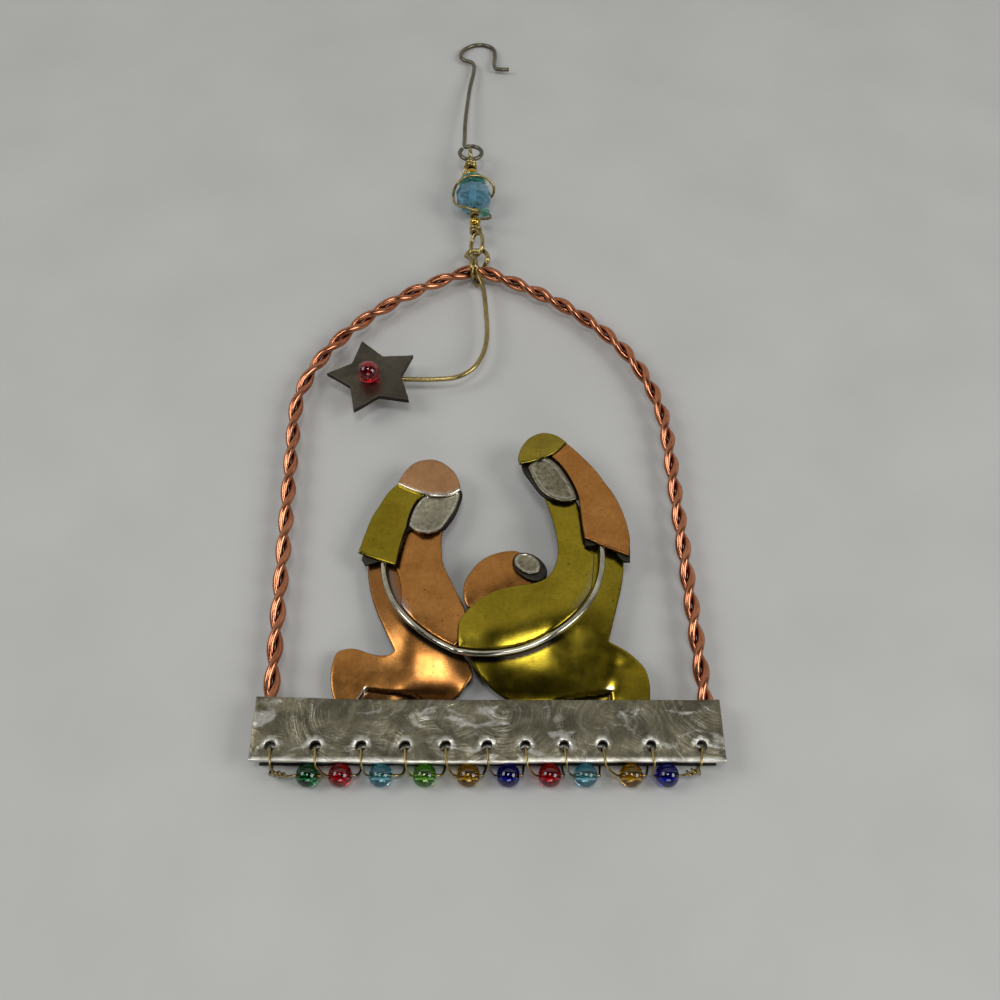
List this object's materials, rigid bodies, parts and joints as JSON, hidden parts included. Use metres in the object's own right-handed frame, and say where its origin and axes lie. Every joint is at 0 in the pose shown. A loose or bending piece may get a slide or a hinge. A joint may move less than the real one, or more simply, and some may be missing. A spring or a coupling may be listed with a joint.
{
  "type": "hanging metal nativity ornament",
  "caption": "Metal nativity ornament: domed copper and brass figures with a child in a twisted copper arch, a bar laced with glass beads, and a beaded hanger with a hook.",
  "frame": {"origin": "middle of the ornament's box, on the table that it lies on", "axes": "+Y from the bar up to the hook, +Z out of the ornament's front, +X to the right seen from the front"},
  "size_m": [0.081, 0.2028, 0.0097],
  "materials": {
    "tinned_steel": "dull tinned sheet with swirled scratches",
    "dark_steel": "dark, matt, unpolished edge and backing metal",
    "copper_wire": "bright copper wire, darker in the recesses of the twist",
    "copper_sheet": "burnished copper sheet with faint rubbing marks",
    "brass_sheet": "burnished brass sheet with an olive tone",
    "brass_wire": "plain brass wire, slightly dulled",
    "gold_metal": "polished gold-coloured metal",
    "silver_sheet": "mottled silver metal, soft shine",
    "star_steel": "dull speckled grey steel",
    "hook_steel": "grey-brown steel wire",
    "green_glass": "clear dark green glass",
    "red_glass": "clear red glass",
    "aqua_glass": "clear pale aqua glass",
    "light_green_glass": "clear light green glass",
    "amber_glass": "clear amber glass",
    "cobalt_glass": "clear cobalt blue glass",
    "crystal_glass": "faceted steel-blue crystal",
    "teal_glass": "teal glass, slightly cloudy"
  },
  "bodies": {
    "frame": {"bar_back_plate": "dark_steel", "bar_front_plate": "tinned_steel", "lacing_wire": "brass_wire", "arch_strand_a": "copper_wire", "arch_strand_b": "copper_wire", "copper_robe": "copper_sheet", "copper_torso": "copper_sheet", "copper_head_backing": "dark_steel", "copper_head_veil": "brass_sheet", "copper_head_face": "silver_sheet", "copper_head_cap": "copper_sheet", "brass_robe": "brass_sheet", "brass_torso": "brass_sheet", "brass_head_backing": "dark_steel", "brass_head_scarf": "copper_sheet", "brass_head_face": "silver_sheet", "brass_head_cap": "brass_sheet", "child_body": "copper_sheet", "child_bezel": "dark_steel", "child_face": "silver_sheet", "cradle_wire": "silver_sheet", "star_wire": "brass_wire", "star_plate": "star_steel", "star_bead": "red_glass"},
    "link": {"link_wire": "brass_wire", "cage_wire": "brass_wire", "seed_bead": "teal_glass"},
    "bead_stack": {"lower_gold_bead": "gold_metal", "crystal_bead": "crystal_glass", "rondelle_bead": "teal_glass", "upper_gold_bead": "gold_metal"},
    "hook": {"hook": "hook_steel"},
    "hanging_bead_1": {"hanging_bead_1": "green_glass"},
    "hanging_bead_2": {"hanging_bead_2": "red_glass"},
    "hanging_bead_3": {"hanging_bead_3": "aqua_glass"},
    "hanging_bead_4": {"hanging_bead_4": "light_green_glass"},
    "hanging_bead_5": {"hanging_bead_5": "amber_glass"},
    "hanging_bead_6": {"hanging_bead_6": "cobalt_glass"},
    "hanging_bead_7": {"hanging_bead_7": "red_glass"},
    "hanging_bead_8": {"hanging_bead_8": "aqua_glass"},
    "hanging_bead_9": {"hanging_bead_9": "amber_glass"},
    "hanging_bead_10": {"hanging_bead_10": "cobalt_glass"}
  },
  "joints": [
    {"name": "link_swing", "type": "hinge", "parent": "frame", "child": "link", "pos_m": [-0.00223, 0.02059, 0.0032], "axis": [1, 0, 0], "range_deg": [-100, 100]},
    {"name": "bead_stack_spin", "type": "hinge", "parent": "link", "child": "bead_stack", "pos_m": [-0.00331, 0.03676, 0.00422], "axis": [-0.0661, 0.9958, 0.0628], "continuous": true},
    {"name": "hook_swing", "type": "hinge", "parent": "link", "child": "hook", "pos_m": [-0.00417, 0.04978, 0.00459], "axis": [1, 0, 0], "range_deg": [-140, 140]},
    {"name": "hanging_bead_1_spin", "type": "hinge", "parent": "frame", "child": "hanging_bead_1", "pos_m": [-0.02915, -0.09941, 0.002], "axis": [1, 0, 0], "continuous": true},
    {"name": "hanging_bead_2_spin", "type": "hinge", "parent": "frame", "child": "hanging_bead_2", "pos_m": [-0.02372, -0.09941, 0.002], "axis": [1, 0, 0], "continuous": true},
    {"name": "hanging_bead_3_spin", "type": "hinge", "parent": "frame", "child": "hanging_bead_3", "pos_m": [-0.01695, -0.09941, 0.002], "axis": [1, 0, 0], "continuous": true},
    {"name": "hanging_bead_4_spin", "type": "hinge", "parent": "frame", "child": "hanging_bead_4", "pos_m": [-0.00963, -0.09941, 0.002], "axis": [1, 0, 0], "continuous": true},
    {"name": "hanging_bead_5_spin", "type": "hinge", "parent": "frame", "child": "hanging_bead_5", "pos_m": [-0.00234, -0.09941, 0.002], "axis": [1, 0, 0], "continuous": true},
    {"name": "hanging_bead_6_spin", "type": "hinge", "parent": "frame", "child": "hanging_bead_6", "pos_m": [0.00435, -0.09941, 0.002], "axis": [1, 0, 0], "continuous": true},
    {"name": "hanging_bead_7_spin", "type": "hinge", "parent": "frame", "child": "hanging_bead_7", "pos_m": [0.01128, -0.09941, 0.002], "axis": [1, 0, 0], "continuous": true},
    {"name": "hanging_bead_8_spin", "type": "hinge", "parent": "frame", "child": "hanging_bead_8", "pos_m": [0.01726, -0.09941, 0.002], "axis": [1, 0, 0], "continuous": true},
    {"name": "hanging_bead_9_spin", "type": "hinge", "parent": "frame", "child": "hanging_bead_9", "pos_m": [0.02486, -0.09941, 0.002], "axis": [1, 0, 0], "continuous": true},
    {"name": "hanging_bead_10_spin", "type": "hinge", "parent": "frame", "child": "hanging_bead_10", "pos_m": [0.03088, -0.09941, 0.002], "axis": [1, 0, 0], "continuous": true}
  ]
}
